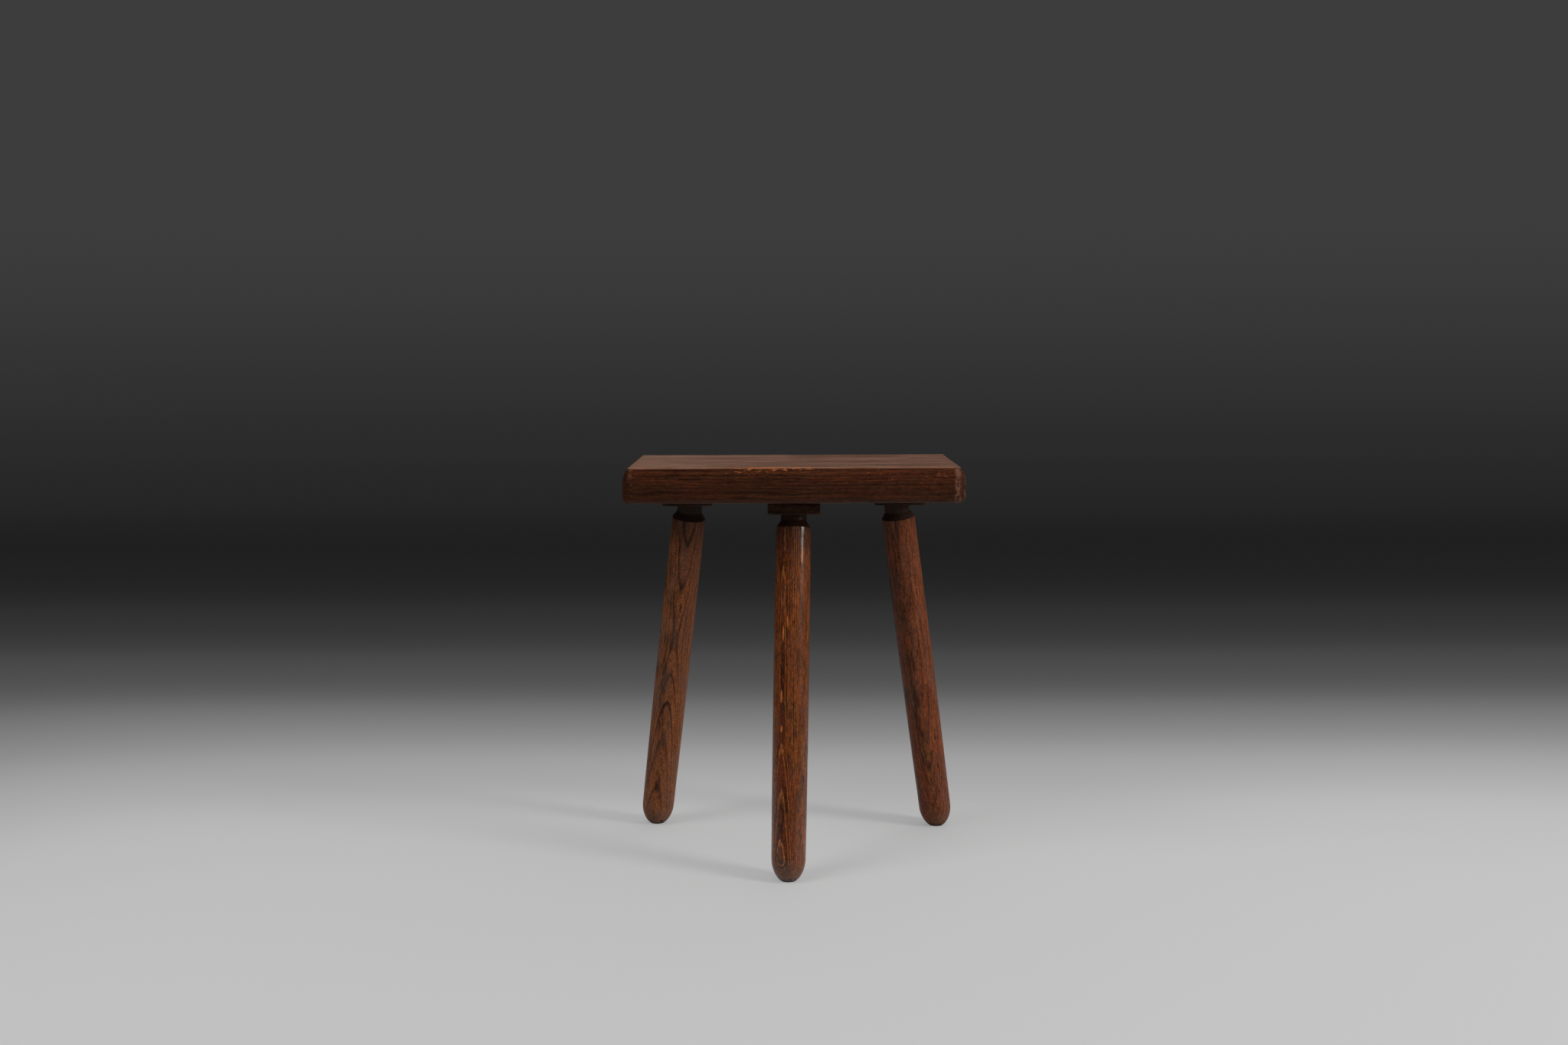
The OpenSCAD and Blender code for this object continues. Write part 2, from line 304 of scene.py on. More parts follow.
class Graph:
    """Adds and joins the nodes of one shader tree."""

    def __init__(self, tree: bpy.types.NodeTree) -> None:
        """Works on the given tree."""
        self.tree = tree

    @classmethod
    def of(cls, owner: Union[bpy.types.Material, bpy.types.World]) -> "Graph":
        """Empties the tree of a material or a world, to work on it."""
        owner.use_nodes = True
        owner.node_tree.nodes.clear()
        return cls(owner.node_tree)

    def node(self, kind: str, feeds: dict[Union[str, int], Feed], **settings: object) -> Made:
        """Adds one node.

        Args:
            kind: The node's type name.
            feeds: What goes into its sockets: a value or a constant. A constant colour is
                given as displayed, from 0 to 255.
            **settings: The node's own options.

        Returns:
            The new node.
        """
        made = self.tree.nodes.new(kind)
        for name, value in settings.items():
            setattr(made, name, value)
        for name, value in feeds.items():
            socket = made.inputs[name]
            if isinstance(value, Value):
                self.tree.links.new(value.socket, socket)
            else:
                socket.default_value = (*linear(*value), 1.0) if socket.type == "RGBA" else value
        return Made(self, made)

    def math(self, operation: str, *terms: Feed) -> Value:
        """One sum, product or other operation on numbers."""
        return self.node("ShaderNodeMath", dict(enumerate(terms)), operation=operation)[0]

    def scaled(self, vector: Value, factors: Feed) -> Value:
        """Multiplies a vector or colour, axis by axis or by one value."""
        return self.node("ShaderNodeVectorMath", {0: vector, 1: factors}, operation="MULTIPLY")[0]

    def noise(self, vector: Value, cells: Point, detail: float = 2.0) -> Value:
        """Cloudy noise.

        Args:
            vector: Where to read it.
            cells: Size of one cloud along each axis, in metres.
            detail: Finer clouds inside the first ones.

        Returns:
            A value around a half.
        """
        spread = self.scaled(vector, tuple(1 / c for c in cells))
        feeds = {"Vector": spread, "Scale": 1.0, "Detail": detail, "Roughness": 0.55}
        return self.node("ShaderNodeTexNoise", feeds)["Fac"]

    def ease(self, value: Feed, low: Feed, high: Feed, start: Feed = 0.0, end: Feed = 1.0) -> Value:
        """Rises smoothly from start at low to end at high, and stays level outside."""
        feeds = {"Value": value, "From Min": low, "From Max": high, "To Min": start, "To Max": end}
        return self.node("ShaderNodeMapRange", feeds, interpolation_type="SMOOTHSTEP")["Result"]

    def mix(self, share: Feed, first: Feed, second: Feed) -> Value:
        """Mixes two colours, by the second one's share."""
        return self.node("ShaderNodeMix", {0: share, 6: first, 7: second}, data_type="RGBA")[2]

    def attribute(self, name: str) -> Value:
        """Reads a value that the piece's mesh holds at its points."""
        return self.node("ShaderNodeAttribute", {}, attribute_name=name)["Fac"]

    def spots(self, wood: Value, spots: tuple[Spot, ...]) -> Value:
        """Small ellipses in the wood.

        Args:
            wood: The place in the wood's frame.
            spots: Each one's place across and along the grain, half width and half length.

        Returns:
            1 inside them, 0 outside.
        """
        x, _, z = wood.split()
        least = 9.0
        for across, along, wide, long in spots:
            u = x * (1 / wide) - across / wide
            v = z * (1 / long) - along / long
            least = self.math("MINIMUM", u * u + v * v, least)
        return self.ease(least, 0.3, 1.2, 1.0, 0.0)

    def looked_at(self) -> Value:
        """1 for what the camera, a gloss or clear glass shows, and 0 for what only lights."""
        path = self.node("ShaderNodeLightPath", {})
        seen = self.math("MAXIMUM", path["Is Camera Ray"], path["Is Glossy Ray"])
        return self.math("MAXIMUM", seen, path["Is Transmission Ray"])

    def surface(self, relief: float, distance: float, height: Value, feeds: dict[str, Feed]) -> None:
        """Ends a material with a bumped shader.

        Args:
            relief: Strength of the bump.
            distance: Depth of the bump.
            height: The bump's height.
            feeds: What goes into the shader's sockets.
        """
        bump = self.node("ShaderNodeBump", {"Strength": relief, "Distance": distance, "Height": height})
        shader = self.node("ShaderNodeBsdfPrincipled", {**feeds, "Normal": bump[0]})
        self.node("ShaderNodeOutputMaterial", {"Surface": shader[0]})


class Effect(Graph):
    """A node group with named inputs and outputs, built once."""

    def __init__(self, name: str, **inputs: Union[float, tuple]) -> None:
        """Makes the group's inputs.

        Args:
            name: Name of the group.
            **inputs: Each input's starting value: a number, or three for a vector.
        """
        super().__init__(bpy.data.node_groups.new(name, "ShaderNodeTree"))
        for key, value in inputs.items():
            kind = "NodeSocketVector" if isinstance(value, tuple) else "NodeSocketFloat"
            socket = self.tree.interface.new_socket(key, in_out="INPUT", socket_type=kind)
            socket.default_value = value
        self.taken = self.node("NodeGroupInput", {})

    def give(self, **values: Value) -> bpy.types.NodeTree:
        """Makes the group's outputs, sends them their values and hands over the group."""
        for name in values:
            self.tree.interface.new_socket(name, in_out="OUTPUT", socket_type="NodeSocketFloat")
        self.node("NodeGroupOutput", values)
        return self.tree


@cache
def growth_rings() -> bpy.types.NodeTree:
    """Year rings round a pith, in wood whose grain runs along z.

    The distance from the pith's line, plus slow and quick clouds, is divided by the ring
    spacing. The pith leans by Run, and turns at Middle: there Bow times the root of the
    length past Middle squared plus a short length squared is added to its distance.
    Within each ring the open early wood is a line that starts sharply and has its own
    darkness, and the dense late wood is a soft band.

    Returns:
        The group, with the outputs Line and Band.
    """
    g = Effect(
        "growth rings", Vector=ZERO, Pith=(0.03, 0.0, 0.0), Run=ZERO, Bow=0.0, Middle=0.0,
        Spacing=0.003, Wander=0.001, Width=0.4,
    )
    taken, vector, short = g.taken, g.taken["Vector"], 0.025
    x, y, z = vector.split()
    pith_x, pith_y, _ = taken["Pith"].split()
    run_x, run_y, _ = taken["Run"].split()
    past = z - taken["Middle"]
    turning = g.math("SQRT", past * past + short ** 2)
    away_x = x - (run_x * past + pith_x)
    away_y = y - (taken["Bow"] * turning + (run_y * past + pith_y))
    slow = g.noise(vector, (0.03, 0.03, 0.14)) - 0.5
    quick = g.noise(vector, (0.006, 0.006, 0.03)) - 0.5
    strayed = taken["Wander"] * (quick * 0.5 + slow * 2.0)
    count = (strayed + g.math("SQRT", away_x * away_x + away_y * away_y)) / taken["Spacing"]
    uneven = g.math("SINE", count * 0.9) * 0.45 + count
    phase = g.math("FRACT", uneven)
    ring = g.node("ShaderNodeTexWhiteNoise", {"W": g.math("FLOOR", uneven)}, noise_dimensions="1D")
    line = g.ease(phase, 0.0, 0.06) * g.ease(phase, 0.06, taken["Width"], 1.0, 0.0)
    band = g.ease(phase, 0.45, 0.75) * g.ease(phase, 0.8, 0.97, 1.0, 0.0)
    return g.give(Line=(ring["Value"] * 0.5 + 0.5) * line, Band=band)


@cache
def open_pores() -> bpy.types.NodeTree:
    """Long dark pores along z, closer together where Line is high.

    Two noises, stretched along the grain, are cut at a level that falls with Line.

    Returns:
        The group, with the outputs Pores and Dashes.
    """
    g = Effect("open pores", Vector=ZERO, Line=0.0, Density=0.0)
    level = g.taken["Line"] * -0.12 - g.taken["Density"] + 0.60
    fine = g.noise(g.taken["Vector"], (0.0008, 0.0008, 0.007), 1.0)
    coarse = g.noise(g.taken["Vector"], (0.0016, 0.0016, 0.016), 1.0)
    return g.give(Pores=g.ease(fine, level, level + 0.07), Dashes=g.ease(coarse, level, level + 0.09))


@cache
def fibre_tone() -> bpy.types.NodeTree:
    """Streaks and clouds of tone in wood whose grain runs along z.

    Returns:
        The group, with the outputs Fibre, Streak, Cloud and Grit, each around a half.
    """
    g = Effect("fibre tone", Vector=ZERO)
    vector = g.taken["Vector"]
    return g.give(
        Fibre=g.noise(vector, (0.0017, 0.0017, 0.016)),
        Streak=g.noise(vector, (0.0040, 0.0040, 0.060)),
        Cloud=g.noise(vector, (0.016, 0.016, 0.06), 3.0),
        Grit=g.noise(vector, (0.0018, 0.0018, 0.0036)),
    )


@cache
def edge_wear() -> bpy.types.NodeTree:
    """Where a finish is rubbed through near an edge.

    Ragged noise, longer along the grain, is added to the nearness of the edge, and what
    passes a level is worn.

    Returns:
        The group, with the outputs Worn and Rubbed.
    """
    g = Effect("edge wear", Vector=ZERO, Edge=0.0, Amount=0.5)
    ragged = g.noise(g.taken["Vector"], (0.0017, 0.0017, 0.006), 3.0)
    broad = g.noise(g.taken["Vector"], (0.02, 0.02, 0.06))
    near = g.taken["Edge"] * g.taken["Amount"]
    patchy = near * g.ease(broad, 0.38, 0.62)
    return g.give(Worn=g.ease(patchy * 0.5 + ragged, 0.70, 0.80), Rubbed=g.ease(near + broad, 0.65, 1.3))


@dataclass(frozen=True)
class Log:
    """The rings of the log that a piece was cut from.

    Pith is the pith's place across the grain. It leans by run past middle, and bow bends
    it there. Spacing is the width of a ring, wander how far it strays, and width the
    share of a ring that its dark line takes.
    """

    pith: tuple[float, float]
    run: tuple[float, float] = (0.0, 0.0)
    bow: float = 0.0
    middle: float = 0.0
    spacing: float = 0.003
    wander: float = 0.001
    width: float = 0.4


@dataclass(frozen=True)
class Grain:
    """How a piece lies in its log: a point, and unit ways along and across the grain."""

    start: Point
    log: Log
    along: Point = (1.0, 0.0, 0.0)
    across: Point = (0.0, 1.0, 0.0)

    def turn(self) -> Matrix:
        """The rotation from the stool's frame into the wood's frame, with z along the grain."""
        along, across = Vector(self.along), Vector(self.across)
        return Matrix((across, along.cross(across), along))


@dataclass
class Coat:
    """What stains, rubbing and painted light and shade change on the way to the shader.

    Wood and place are the places in the wood's and the stool's frames.
    """

    graph: Graph
    wood: Value
    place: Value
    colour: Value
    rough: Value
    height: Value
    shine: Feed

    def lay(self, colour: Feed, share: Feed) -> None:
        """Lays a share of a colour over the ones before."""
        self.colour = self.graph.mix(share, self.colour, colour)

    def worn(self, amount: float) -> Made:
        """Where the finish is worn and rubbed near the edges, by an amount."""
        feeds = {"Vector": self.wood, "Edge": self.graph.attribute("edge"), "Amount": amount}
        return self.graph.node("ShaderNodeGroup", feeds, node_tree=edge_wear())


@dataclass(frozen=True)
class OakFinish:
    """Stained oak: colours of its grain and how worn and glossy it is.

    Line is the colour of the thin ring lines. Lit side flush is how much redder and lighter
    the piece's right side is than its left, partly its tone and partly painted light from the
    right; streaky is how gently its fibres differ, prick how dark its pores are, stretch how
    long its streaks and pores are, and shade how dark the painted shadow of the seat lies
    below a leg's shoulder. Knots are small dark spots and flames small bright ones: place
    across and along the grain, half width and half length. Bloom is how much grey dulls
    it in patches.
    """

    name: str
    dark: Colour
    light: Colour
    red: Colour
    pore: Colour
    bare: Colour
    line: Colour
    line_strength: float
    band_strength: float
    gloss: float
    pore_density: float = 0.0
    lit_side_flush: float = 0.0
    streaky: float = 0.10
    prick: float = 0.65
    stretch: float = 1.0
    shade: float = 0.0
    knots: tuple[Spot, ...] = ()
    flames: tuple[Spot, ...] = ()
    wear: float = 0.0
    roughness: float = 0.42
    relief: float = 0.6
    bloom: float = 0.0

    def build(self, grain: Grain, dress: Callable[["OakFinish", Coat], None]) -> bpy.types.Material:
        """Makes the material for one piece.

        Args:
            grain: How the piece lies in its log.
            dress: Changes the coat, as a stain or rubbing does.

        Returns:
            The material.
        """
        material = bpy.data.materials.new(self.name)
        g = Graph.of(material)
        turn, log = grain.turn(), grain.log
        place = g.node("ShaderNodeTexCoord", {})["Object"]
        wood = g.node("ShaderNodeMapping", {
            "Vector": place, "Location": tuple(-(turn @ Vector(grain.start))),
            "Rotation": tuple(turn.to_euler("XYZ")),
        }, vector_type="POINT")[0]
        rings = g.node("ShaderNodeGroup", {
            "Vector": wood, "Pith": (*log.pith, 0.0), "Run": (*log.run, 0.0), "Bow": log.bow,
            "Middle": log.middle, "Spacing": log.spacing, "Wander": log.wander, "Width": log.width,
        }, node_tree=growth_rings())
        drawn = g.scaled(wood, (1.0, 1.0, 1 / self.stretch))
        pores = g.node("ShaderNodeGroup", {
            "Vector": drawn, "Line": rings["Line"], "Density": self.pore_density,
        }, node_tree=open_pores())
        tone = g.node("ShaderNodeGroup", {"Vector": drawn}, node_tree=fibre_tone())
        fibre = tone["Fibre"]
        blend = g.ease(fibre * 0.55 + tone["Streak"] * 0.45, 0.5 - self.streaky, 0.5 + self.streaky)
        rough = pores["Pores"] * 0.25 + self.roughness + (tone["Cloud"] - 0.5) * 0.2
        height = fibre * 0.5 - pores["Pores"] - pores["Dashes"] * 0.5
        coat = Coat(g, wood, place, g.mix(blend, self.dark, self.light), rough, height, self.gloss)
        # Redder and lighter towards the right side: partly the wood's tone, partly painted light from the
        # brighter right.
        lit_side_flushed = g.ease(wood.split()[0], -0.006, 0.007) * self.lit_side_flush
        coat.lay(self.red, g.math("MAXIMUM", g.ease(tone["Cloud"], 0.40, 0.66), lit_side_flushed) * 0.6)
        coat.colour = g.scaled(coat.colour, g.ease(tone["Grit"], 0.3, 0.7, 0.66, 1.34))
        coat.lay(self.bare, rings["Band"] * self.band_strength)
        coat.lay(self.line, rings["Line"] * self.line_strength)
        coat.lay(self.pore, pores["Dashes"] * (self.prick * 0.8))
        coat.lay(self.pore, pores["Pores"] * self.prick)
        for spots, tint in ((self.knots, self.pore), (self.flames, self.bare)):
            if spots:
                coat.lay(tint, g.spots(wood, spots) * g.ease(fibre, 0.35, 0.55, 0.4, 0.9))
        dress(self, coat)
        g.surface(self.relief, 0.00025, coat.height, {
            "Base Color": coat.colour, "Roughness": coat.rough, "Specular IOR Level": coat.shine,
        })
        return material


@dataclass(frozen=True)
class PlainFinish:
    """A mottled finish for small parts.

    Spot is the colour of its stains, and cells their size along each axis.
    """

    name: str
    colour: Colour
    spot: Colour
    cells: Point
    roughness: float
    metallic: float
    relief: float

    def build(self) -> bpy.types.Material:
        """Makes the material."""
        material = bpy.data.materials.new(self.name)
        g = Graph.of(material)
        place = g.node("ShaderNodeTexCoord", {})["Object"]
        stain = g.noise(place, self.cells, 3.0)
        grit = g.noise(place, tuple(c / 6 for c in self.cells))
        g.surface(self.relief, 0.0001, grit, {
            "Base Color": g.mix(g.ease(stain, 0.42, 0.62), self.colour, self.spot),
            "Roughness": grit * 0.3 + (self.roughness - 0.15), "Metallic": self.metallic,
        })
        return material


@dataclass(frozen=True)
class Pit:
    """A round hole in a slab's lower face.

    The rim is a ring of the face's grid. Knots give the radius and the depth at some of
    the rings inside it, and lean is the hole's sideways run for each metre up.
    """

    spot: tuple[float, float]
    rim: int
    knots: tuple[tuple[int, float, float], ...]
    lean: tuple[float, float] = (0.0, 0.0)
    ease: int = 3

    def sink(self, x: np.ndarray, y: np.ndarray, depth: np.ndarray, cell: float) -> None:
        """Shapes the hole into a grid.

        The square rings of the grid round the nearest point become circles: a point's
        angle is its share of the way along its side of the square. Past the rim the
        circles ease back to the squares.

        Args:
            x: The grid's x, changed in place.
            y: The grid's y, changed in place.
            depth: Depth above the lower face, changed in place.
            cell: Width of a cell of the grid.
        """
        row = int(np.abs(x[:, 0] - self.spot[0]).argmin())
        column = int(np.abs(y[0] - self.spot[1]).argmin())
        i, j = np.indices(x.shape)
        i, j = i - row, j - column
        ring = np.maximum(np.abs(i), np.abs(j))
        wide = np.abs(i) >= np.abs(j)
        share = np.where(wide, j / np.where(i == 0, 1, i), i / np.where(j == 0, 1, j)) * math.pi / 4
        angle = np.where(wide, share + math.pi * (i < 0), math.pi / 2 - share + math.pi * (j < 0))
        rings, radii, depths = (np.array(k, float) for k in zip(*self.knots))
        radius = np.interp(ring, rings, radii) + np.maximum(ring - self.rim, 0) * cell
        down = np.interp(ring, rings, depths)
        dx, dy = radius * np.cos(angle), radius * np.sin(angle)
        steep = math.hypot(*self.lean)
        if steep > 0:
            ux, uy = self.lean[0] / steep, self.lean[1] / steep
            longer = (dx * ux + dy * uy) * (math.hypot(1, steep) - 1)
            dx, dy = dx + ux * longer, dy + uy * longer
        keep = smooth((ring - self.rim) / self.ease)
        x[:] = x * keep + (self.spot[0] + dx + self.lean[0] * down) * (1 - keep)
        y[:] = y * keep + (self.spot[1] + dy + self.lean[1] * down) * (1 - keep)
        depth[:] = np.where(ring < self.rim, down, depth)


@dataclass
class Slab:
    """A flat board whose shaped sides run on round its upright corners.

    The sides are given by a function of the ways out from the border of the flat faces.
    It returns how far each point lies out from the border, and its height from the top,
    as rows down the side × columns round the board.
    """

    low: np.ndarray
    high: np.ndarray
    corner: float
    sides: Callable[[np.ndarray], tuple[np.ndarray, np.ndarray]]
    cell: float
    pits: list[Pit] = field(default_factory=list)
    corner_steps: int = 12

    def lines(self) -> tuple[np.ndarray, np.ndarray]:
        """The grid lines of the flat faces, inside the rounded corners."""
        made = []
        for axis in (0, 1):
            low, high = self.low[axis] + self.corner, self.high[axis] - self.corner
            made.append(np.linspace(low, high, round((high - low) / self.cell) + 1))
        return made[0], made[1]

    def spine(self) -> tuple[np.ndarray, np.ndarray]:
        """The flat faces' border and the way out from it.

        At a corner the border's point is repeated while the way out turns through a
        right angle.

        Returns:
            Border points and outward directions, two columns each, closed.
        """
        xs, ys = self.lines()
        sides = [
            (np.stack([xs, np.full_like(xs, ys[0])], 1), -90.0),
            (np.stack([np.full_like(ys, xs[-1]), ys], 1), 0.0),
            (np.stack([xs[::-1], np.full_like(xs, ys[-1])], 1), 90.0),
            (np.stack([np.full_like(ys, xs[0]), ys[::-1]], 1), 180.0),
        ]
        points, angles = [], []
        for side, angle in sides:
            turn = np.linspace(angle, angle + 90, self.corner_steps + 1)[1:-1]
            points += [side, np.repeat(side[-1:], len(turn), 0)]
            angles += [np.full(len(side), angle), turn]
        points.append(points[0][:1])
        angles.append(angles[0][:1])
        radians = np.radians(np.concatenate(angles))
        return np.concatenate(points), np.stack([np.cos(radians), np.sin(radians)], 1)

    def draft(self, shape: Callable[[np.ndarray], np.ndarray], values: Callable) -> MeshDraft:
        """Works out the top, the sides and the underside.

        Args:
            shape: Moves points by the board's unevenness.
            values: Gives the attributes' values from the points before they move.

        Returns:
            The three grids, ready to weld.
        """
        x, y = np.meshgrid(*self.lines(), indexing="ij")
        top = np.stack([x, y, np.full_like(x, self.high[2])], -1)
        points, out = self.spine()
        reach, level = self.sides(out)
        across = points[None] + reach[..., None] * out[None]
        band = np.concatenate([across, self.high[2] + level[..., None]], -1)
        depth = np.zeros_like(x)
        for pit in self.pits:
            pit.sink(x, y, depth, self.cell)
        under = np.stack([x, y, self.low[2] + depth], -1)
        made = MeshDraft()
        for grid, flip in ((top, False), (band, False), (under, True)):
            made.add(shape(grid), flip, **values(grid))
        return made


@dataclass(frozen=True)
class BoardEdge:
    """How one pair of the seat's sides is shaped, in a section across it."""

    bulge: float
    line: float
    under: float

    def inset(self, depth: np.ndarray, thickness: float) -> np.ndarray:
        """How far the side lies inside its fullest line.

        Above the line it is an arc of the bulge's radius, and over the lowest stretch a
        quarter round: the radius less the root of its square less the rise's square.

        Args:
            depth: Depths below the top.
            thickness: Thickness of the seat.

        Returns:
            One distance for each depth.
        """
        above = np.maximum(self.line - depth, 0)
        below = np.maximum(depth - thickness + self.under, 0)
        return (
            self.bulge - np.sqrt(self.bulge ** 2 - above ** 2)
            + self.under - np.sqrt(np.maximum(self.under ** 2 - below ** 2, 0))
        )


@dataclass
class SeatBoard:
    """The seat: a thick board with bulged ends, hollowed a little by use."""

    corner: float = 0.014
    ends: BoardEdge = BoardEdge(bulge=0.030, line=0.020, under=0.008)
    fronts: BoardEdge = BoardEdge(bulge=0.042, line=0.010, under=0.005)
    arris: float = 0.0011
    ridge: float = 0.0012
    hollow: float = 0.0006
    unevenness: float = 0.00022
    uneven_depth: float = 0.012
    worn_width: float = 0.006
    cell: float = 0.002
    flat_rows: int = 6

    def sides(self, out: np.ndarray, thickness: float) -> tuple[np.ndarray, np.ndarray]:
        """The side's reach and level, all round the board.

        From the border's corner three outlines limit the way out: the round corner, the
        ends' section and the front's section. A point lies on the nearest of them, and
        where two of them meet the ridge between them is eased: half the wanting width
        squared, over that width, is taken off. The top edge is rounded by a quarter
        round of the arris.

        Args:
            out: Unit ways out, two columns.
            thickness: Thickness of the seat.

        Returns:
            Reach past the border, and height from the top, rows × columns.
        """
        rounding = np.linspace(math.pi / 2, 0, 6)
        turn = np.linspace(0, math.pi / 2, 12)
        upright = np.array([[0.0, self.arris], [0.0, thickness - self.ends.under]])
        depth = np.concatenate([
            self.arris * (1 - np.sin(rounding)), spaced(upright, self.cell / 2)[1:-1, 1],
            thickness - self.ends.under * (1 - np.sin(turn)),
        ])
        edge = self.arris - np.sqrt(self.arris ** 2 - np.maximum(self.arris - depth, 0) ** 2)
        way_x, way_y = np.maximum(np.abs(out), 1e-6).T
        by_end = (self.corner - self.ends.inset(depth, thickness) - edge)[:, None] / way_x
        by_front = (self.corner - self.fronts.inset(depth, thickness) - edge)[:, None] / way_y
        ease = self.ridge * 2 * way_x * way_y
        reach = self.nearest(self.nearest(by_end, by_front, ease), self.corner - edge[:, None], ease)
        share = np.linspace(0, 1, self.flat_rows)[:-1, None]
        above, below = share * reach[:1], share[::-1] * reach[-1:]
        reach = np.concatenate([above, reach, below])
        level = np.concatenate([np.zeros(len(share)), -depth, np.full(len(share), -thickness)])
        return reach, np.broadcast_to(level[:, None], reach.shape)

    @staticmethod
    def nearest(first: np.ndarray, second: np.ndarray, ease: np.ndarray) -> np.ndarray:
        """The smaller of two distances, eased where they are alike."""
        wanting = np.maximum(ease - np.abs(first - second), 0)
        return np.minimum(first, second) - wanting ** 2 / np.maximum(4 * ease, 1e-9)

    def build(self, pits: list[Pit]) -> bpy.types.Object:
        """Makes the seat.

        Args:
            pits: The holes in its underside.

        Returns:
            The seat, without its finish.
        """
        low, high = np.array(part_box("seat"))
        thickness = high[2] - low[2]
        middle, half = (low + high)[:2] / 2, (high - low)[:2] / 2
        border = half - self.corner
        edges = (self.ends, self.fronts)
        top_half = half - [float(edge.inset(np.zeros(1), thickness)[0]) for edge in edges]

        def shape(points: np.ndarray) -> np.ndarray:
            """Hollows the top and makes the sides slightly uneven, always inwards."""
            moved = points.copy()
            share = (points[..., :2] - middle) / half
            dish = self.hollow * np.prod(np.cos(np.clip(share, -1, 1) * math.pi / 2), -1)
            ripple = self.unevenness * waves(points, 0.09, 0.7)
            above = np.clip(1 + (points[..., 2] - high[2]) / self.uneven_depth, 0, 1)
            moved[..., 2] -= (dish + ripple) * above
            way = points[..., :2] - np.clip(points[..., :2], middle - border, middle + border)
            length = np.linalg.norm(way, axis=-1, keepdims=True)
            inward = self.unevenness * waves(points, 0.07, 2.9) * smooth(length[..., 0] / self.corner)
            moved[..., :2] -= way / np.maximum(length, 1e-9) * inward[..., None]
            return moved

        def values(points: np.ndarray) -> dict[str, np.ndarray]:
            """How far each point is of the top, and how near an edge or a corner."""
            drop = high[2] - points[..., 2]
            away = np.abs(points[..., :2] - middle)
            inside = np.maximum((top_half - away).min(-1), 0)
            past = np.maximum(away - border, 0).min(-1)
            end = smooth((away[..., 0] - half[0]) / 0.010 + 1.6)
            return {
                "upper": 1 - smooth((drop - 0.0002) / 0.0016),
                "edge": np.exp(-np.hypot(drop, inside) / self.worn_width) * (1 - 0.35 * end),
                "corner": np.exp(-((past - 0.0044) / 0.0034) ** 2) * (drop > 0.0015),
                "lower": smooth(1 - (thickness - drop) / 0.007) * (drop < thickness - 1e-5),
            }

        slab = Slab(low, high, self.corner, lambda out: self.sides(out, thickness), self.cell, pits, 40)
        return slab.draft(shape, values).build("seat_board")

    def dress(self, finish: OakFinish, coat: Coat) -> None:
        """Greys the top with a painted sheen, paints shade down the sides and wears the edges.

        The pale edge band and the corner specks are partly wear and partly painted highlights.
            coat: What it changes.
        """
        g, top = coat.graph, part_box("seat")[1][2]
        upper = g.attribute("upper")
        x, _, level = coat.place.split()
        veil = g.noise(coat.wood, (0.013, 0.03, 0.17), 4.0)
        brushed = g.noise(coat.wood, (0.0026, 0.01, 0.055), 3.0)
        # The mask rubbed holds a painted sheen: the wax's glancing reflection, patchy, streaked along the
        # grain and palest towards the left end.
        paler = g.ease(veil, 0.36, 0.64, 0.40, 0.92) + g.ease(x, -0.17, -0.02, 0.25, 0.0)
        rubbed = upper * (paler * g.ease(brushed, 0.36, 0.60, 0.42, 1.2))
        coat.lay(g.mix(0.70, coat.colour, TOP_SHEEN_GREY), rubbed)
        # Painted shade: the sides darken from 6 mm to 30 mm below the top and stay half dark below,
        # underside included; the veil's clouds add darker tone at random.
        clouded = g.ease(veil, 0.38, 0.56, 0.5, 0.0) * g.ease(level, top - 0.002, top - 0.001, 1.0, 0.0)
        coat.lay(SIDE_SHADE_AND_CLOUD, g.math("MAXIMUM", g.ease(level, top - 0.030, top - 0.006, 0.5, 0.0), clouded))
        coat.lay(LOWER_EDGE, g.attribute("lower") * 0.2)
        wear = coat.worn(finish.wear)
        coat.lay(finish.red, wear["Rubbed"] * 0.35)
        coat.lay(finish.bare, wear["Worn"] * 0.75)
        # Pale band within about 2 mm of the top arris: bare worn wood and a painted highlight along the
        # arris.
        coat.lay(ARRIS_HIGHLIGHT_AND_WEAR, g.ease(g.attribute("edge"), 0.72, 0.92, 0.0, 0.35))
        # Pale specks near the upright corners, more on the right than the left: wear and a painted
        # highlight where the round corner catches the right-hand lamp.
        rarer = g.ease(x, -0.01, 0.01, 0.15, 0.0) + g.ease(level, top - 0.016, top - 0.004, 0.0, -0.08)
        corner_glint_and_wear = g.ease(g.noise(coat.wood, (0.006, 0.008, 0.006), 4.0) - rarer, 0.43, 0.64, 0.03, 0.58)
        coat.lay(CORNER_HIGHLIGHT_AND_WEAR, corner_glint_and_wear * g.ease(g.attribute("corner"), 0.05, 0.9))
        coat.rough = upper * 0.08 + coat.rough
        coat.height = coat.height - wear["Worn"] * 0.4


